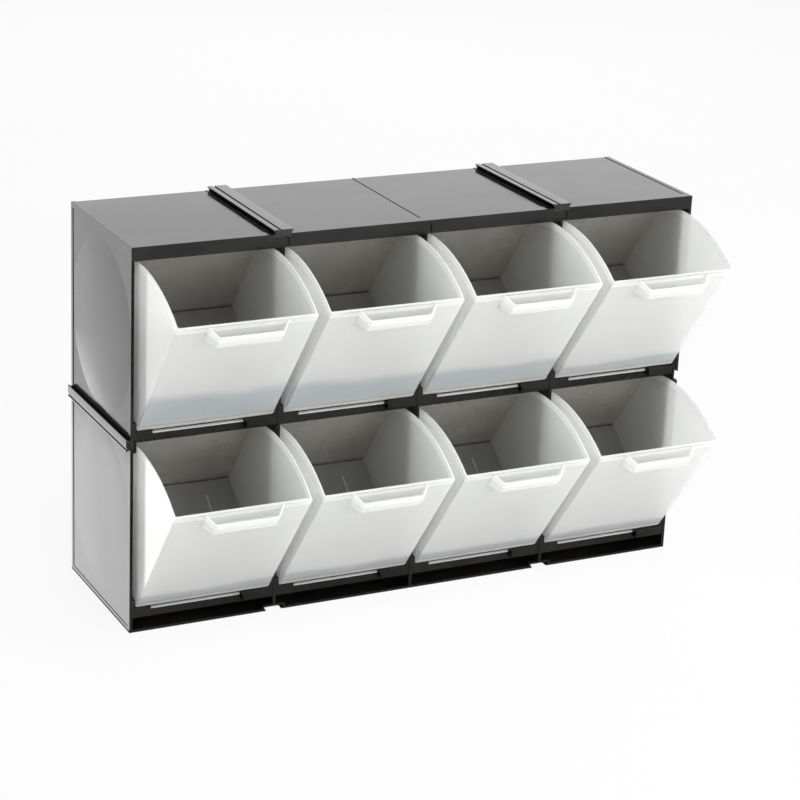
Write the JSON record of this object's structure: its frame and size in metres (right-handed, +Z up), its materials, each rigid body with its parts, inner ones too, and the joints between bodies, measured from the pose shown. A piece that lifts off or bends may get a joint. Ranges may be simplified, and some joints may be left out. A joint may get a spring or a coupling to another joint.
{
  "type": "tilt bin parts cabinet",
  "caption": "Black frame cabinet with rows of clear bins that tilt forward on pins, and dovetail connector strips on its top and side for joining cabinets.",
  "frame": {"origin": "centre of the frame's base, on the surface that it stands on", "axes": "+X to the right along the rows, +Y from the open front to the closed back, +Z up"},
  "size_m": [0.604, 0.2715, 0.388],
  "materials": {
    "frame_black": "moulded gloss",
    "strip_black": "extruded gloss",
    "bin_clear": "milky clear"
  },
  "bodies": {
    "cabinet": {"frame_side_left": "frame_black", "frame_side_right": "frame_black", "frame_top": "frame_black", "frame_base": "frame_black", "frame_back": "frame_black", "frame_shelf_lower": "frame_black", "frame_shelf_upper": "frame_black", "frame_divider_lower_1": "frame_black", "frame_divider_lower_2": "frame_black", "frame_divider_lower_3": "frame_black", "frame_divider_upper_1": "frame_black", "frame_divider_upper_2": "frame_black", "frame_divider_upper_3": "frame_black", "connector_strip_top_left": "strip_black", "connector_strip_top_right": "strip_black", "connector_strip_side": "strip_black"},
    "bin_lower_1": {"bin_lower_1": "bin_clear"},
    "bin_lower_2": {"bin_lower_2": "bin_clear"},
    "bin_lower_3": {"bin_lower_3": "bin_clear"},
    "bin_lower_4": {"bin_lower_4": "bin_clear"},
    "bin_upper_1": {"bin_upper_1": "bin_clear"},
    "bin_upper_2": {"bin_upper_2": "bin_clear"},
    "bin_upper_3": {"bin_upper_3": "bin_clear"},
    "bin_upper_4": {"bin_upper_4": "bin_clear"}
  },
  "joints": [
    {"name": "bin_lower_1_tilt", "type": "hinge", "parent": "cabinet", "child": "bin_lower_1", "pos_m": [-0.22387, -0.0793, 0.0283], "axis": [1, 0, 0], "range_deg": [-37.3, 0]},
    {"name": "bin_lower_2_tilt", "type": "hinge", "parent": "cabinet", "child": "bin_lower_2", "pos_m": [-0.07462, -0.0793, 0.0283], "axis": [1, 0, 0], "range_deg": [-37.3, 0]},
    {"name": "bin_lower_3_tilt", "type": "hinge", "parent": "cabinet", "child": "bin_lower_3", "pos_m": [0.07462, -0.0793, 0.0283], "axis": [1, 0, 0], "range_deg": [-37.3, 0]},
    {"name": "bin_lower_4_tilt", "type": "hinge", "parent": "cabinet", "child": "bin_lower_4", "pos_m": [0.22387, -0.0793, 0.0283], "axis": [1, 0, 0], "range_deg": [-37.3, 0]},
    {"name": "bin_upper_1_tilt", "type": "hinge", "parent": "cabinet", "child": "bin_upper_1", "pos_m": [-0.22387, -0.0793, 0.2083], "axis": [1, 0, 0], "range_deg": [-37.3, 0]},
    {"name": "bin_upper_2_tilt", "type": "hinge", "parent": "cabinet", "child": "bin_upper_2", "pos_m": [-0.07462, -0.0793, 0.2083], "axis": [1, 0, 0], "range_deg": [-37.3, 0]},
    {"name": "bin_upper_3_tilt", "type": "hinge", "parent": "cabinet", "child": "bin_upper_3", "pos_m": [0.07462, -0.0793, 0.2083], "axis": [1, 0, 0], "range_deg": [-37.3, 0]},
    {"name": "bin_upper_4_tilt", "type": "hinge", "parent": "cabinet", "child": "bin_upper_4", "pos_m": [0.22387, -0.0793, 0.2083], "axis": [1, 0, 0], "range_deg": [-37.3, 0]}
  ]
}
